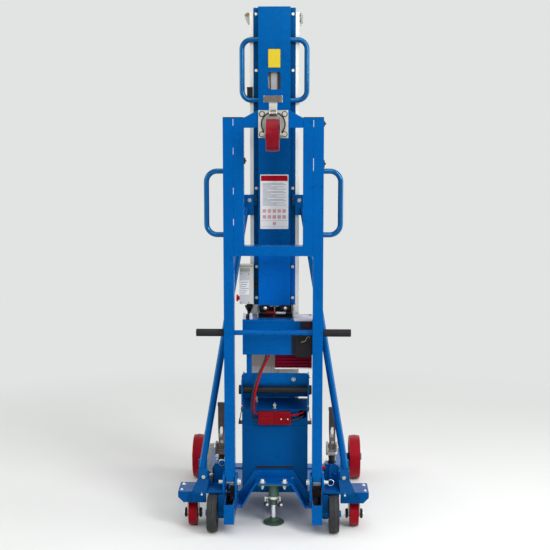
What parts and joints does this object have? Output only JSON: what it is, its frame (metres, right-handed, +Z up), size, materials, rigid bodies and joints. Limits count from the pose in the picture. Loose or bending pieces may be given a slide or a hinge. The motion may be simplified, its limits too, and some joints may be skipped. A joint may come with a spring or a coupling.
{
  "type": "glazing hoist",
  "caption": "Wheeled glazing hoist with a telescopic mast, battery winch, side stays, floor lock and a ladder-like front frame that folds down onto its caster.",
  "frame": {"origin": "floor level, middle of the part's width and depth", "axes": "+Z up along the mast, -Y towards the folding front frame, +X to the right of the front view"},
  "size_m": [0.7846, 0.912, 2.081],
  "materials": {
    "blue_paint": "gloss powder coat",
    "aluminium": "extruded, satin",
    "dark_steel": "oiled",
    "zinc": "zinc plated",
    "red_tyre": "satin polyurethane",
    "black_tyre": "matt",
    "black_rubber": "matt",
    "black_plastic": "moulded",
    "red_plastic": "moulded",
    "red_metal": "anodised",
    "grey_plastic": "moulded",
    "green_paint": "gloss",
    "lead_red": "insulation",
    "lead_black": "insulation"
  },
  "bodies": {
    "base": {"base_deck": "blue_paint", "battery": "black_plastic", "battery_box": "blue_paint", "battery_connector": "red_plastic", "battery_leads": "lead_black", "battery_lid": "blue_paint", "bridge_beam": "blue_paint", "charger": "red_metal", "control_box": "grey_plastic", "control_cable": "black_rubber", "floor_lock_body": "green_paint", "hex_bolts": "zinc", "hinge_brackets": "blue_paint", "hinge_pins": "zinc", "lift_rope": "zinc", "mast_cover_lower": "blue_paint", "mast_cover_upper": "blue_paint", "mast_handles": "blue_paint", "mast_outer": "aluminium", "outriggers": "blue_paint", "pumps": "blue_paint", "rear_axle_beam": "blue_paint", "roller_bracket": "blue_paint", "side_beams": "blue_paint", "stay_ears": "blue_paint", "stays": "blue_paint", "switch_box": "black_plastic", "winch_housing": "blue_paint", "winch_lead_black": "lead_black", "winch_lead_red": "lead_red", "winch_motor": "black_plastic"},
    "frame": {"frame_legs": "blue_paint", "frame_inner_tubes": "blue_paint", "tube_plugs": "black_plastic", "frame_crossbar": "blue_paint", "frame_head": "blue_paint", "push_bar": "blue_paint", "push_grips": "black_rubber", "frame_handles": "blue_paint", "frame_caster_plate": "zinc"},
    "frame_fork": {"frame_caster_fork": "zinc"},
    "frame_wheel": {"frame_caster_wheel": "red_tyre"},
    "frame_brake": {"frame_caster_brake": "zinc"},
    "caster_left": {"caster_fork_left": "zinc"},
    "caster_right": {"caster_fork_right": "zinc"},
    "caster_left_wheel": {"caster_wheel_left": "red_tyre"},
    "caster_right_wheel": {"caster_wheel_right": "red_tyre"},
    "front_left_wheel": {"front_wheel_left": "black_tyre"},
    "front_right_wheel": {"front_wheel_right": "black_tyre"},
    "rear_left_wheel": {"rear_wheel_left": "red_tyre"},
    "rear_right_wheel": {"rear_wheel_right": "red_tyre"},
    "drum": {"winch_drum": "dark_steel"},
    "roller": {"loading_roller": "black_rubber"},
    "inner_mast": {"mast_inner": "aluminium"},
    "carriage": {"lift_carriage": "dark_steel"},
    "lock_foot": {"floor_lock_foot": "green_paint"},
    "lever_left": {"pump_lever_left": "dark_steel"},
    "lever_right": {"pump_lever_right": "dark_steel"},
    "button": {"stop_button": "red_plastic"},
    "switch": {"main_switch": "red_plastic"}
  },
  "joints": [
    {"name": "frame_fold", "type": "hinge", "parent": "base", "child": "frame", "pos_m": [0, -0.271, 0.185], "axis": [1, 0, 0], "range_deg": [0, 90]},
    {"name": "frame_caster_swivel", "type": "hinge", "parent": "frame", "child": "frame_fork", "pos_m": [0, -0.301, 1.618], "axis": [0, 1, 0], "continuous": true},
    {"name": "frame_caster_spin", "type": "hinge", "parent": "frame_fork", "child": "frame_wheel", "pos_m": [0, -0.3935, 1.576], "axis": [1, 0, 0], "continuous": true},
    {"name": "frame_brake_press", "type": "hinge", "parent": "frame_fork", "child": "frame_brake", "pos_m": [0, -0.33, 1.658], "axis": [1, 0, 0], "range_deg": [0, 10]},
    {"name": "caster_swivel_left", "type": "hinge", "parent": "base", "child": "caster_left", "pos_m": [-0.327, -0.243, 0.153], "axis": [0, 0, 1], "continuous": true},
    {"name": "caster_spin_left", "type": "hinge", "parent": "caster_left", "child": "caster_left_wheel", "pos_m": [-0.327, -0.251, 0.05], "axis": [1, 0, 0], "continuous": true},
    {"name": "front_wheel_spin_left", "type": "hinge", "parent": "base", "child": "front_left_wheel", "pos_m": [-0.243, -0.328, 0.075], "axis": [1, 0, 0], "continuous": true},
    {"name": "rear_wheel_spin_left", "type": "hinge", "parent": "base", "child": "rear_left_wheel", "pos_m": [-0.359, 0.356, 0.1], "axis": [1, 0, 0], "continuous": true},
    {"name": "pump_lever_left_swing", "type": "hinge", "parent": "base", "child": "lever_left", "pos_m": [-0.218, -0.165, 0.303], "axis": [-1, 0, 0], "range_deg": [0, 45]},
    {"name": "caster_swivel_right", "type": "hinge", "parent": "base", "child": "caster_right", "pos_m": [0.327, -0.243, 0.153], "axis": [0, 0, 1], "continuous": true},
    {"name": "caster_spin_right", "type": "hinge", "parent": "caster_right", "child": "caster_right_wheel", "pos_m": [0.327, -0.251, 0.05], "axis": [1, 0, 0], "continuous": true},
    {"name": "front_wheel_spin_right", "type": "hinge", "parent": "base", "child": "front_right_wheel", "pos_m": [0.243, -0.328, 0.075], "axis": [1, 0, 0], "continuous": true},
    {"name": "rear_wheel_spin_right", "type": "hinge", "parent": "base", "child": "rear_right_wheel", "pos_m": [0.359, 0.356, 0.1], "axis": [1, 0, 0], "continuous": true},
    {"name": "pump_lever_right_swing", "type": "hinge", "parent": "base", "child": "lever_right", "pos_m": [0.238, -0.165, 0.303], "axis": [-1, 0, 0], "range_deg": [0, 45]},
    {"name": "roller_spin", "type": "hinge", "parent": "base", "child": "roller", "pos_m": [0.006, -0.222, 0.556], "axis": [1, 0, 0], "continuous": true},
    {"name": "mast_lift", "type": "slide", "parent": "base", "child": "inner_mast", "axis": [0, 0, 1], "range_m": [0, 1.25]},
    {"name": "carriage_lift", "type": "slide", "parent": "inner_mast", "child": "carriage", "axis": [0, 0, 1], "range_m": [0, 1.25]},
    {"name": "drum_spin", "type": "hinge", "parent": "base", "child": "drum", "pos_m": [0, -0.126, 0.768], "axis": [1, 0, 0], "continuous": true},
    {"name": "floor_lock_lift", "type": "slide", "parent": "base", "child": "lock_foot", "axis": [0, 0, 1], "range_m": [0, 0.03]},
    {"name": "stop_button_press", "type": "slide", "parent": "base", "child": "button", "axis": [1, 0, 0], "range_m": [0, 0.004], "stiffness_N_per_m": 600},
    {"name": "main_switch_turn", "type": "hinge", "parent": "base", "child": "switch", "pos_m": [0.137, -0.215, 0.82], "axis": [0, -1, 0], "range_deg": [0, 90]}
  ],
  "couplings": [
    {"joint": "carriage_lift", "follows": "mast_lift", "ratio": 1},
    {"joint": "drum_spin", "follows": "mast_lift", "rad_per_m": -30.03}
  ]
}
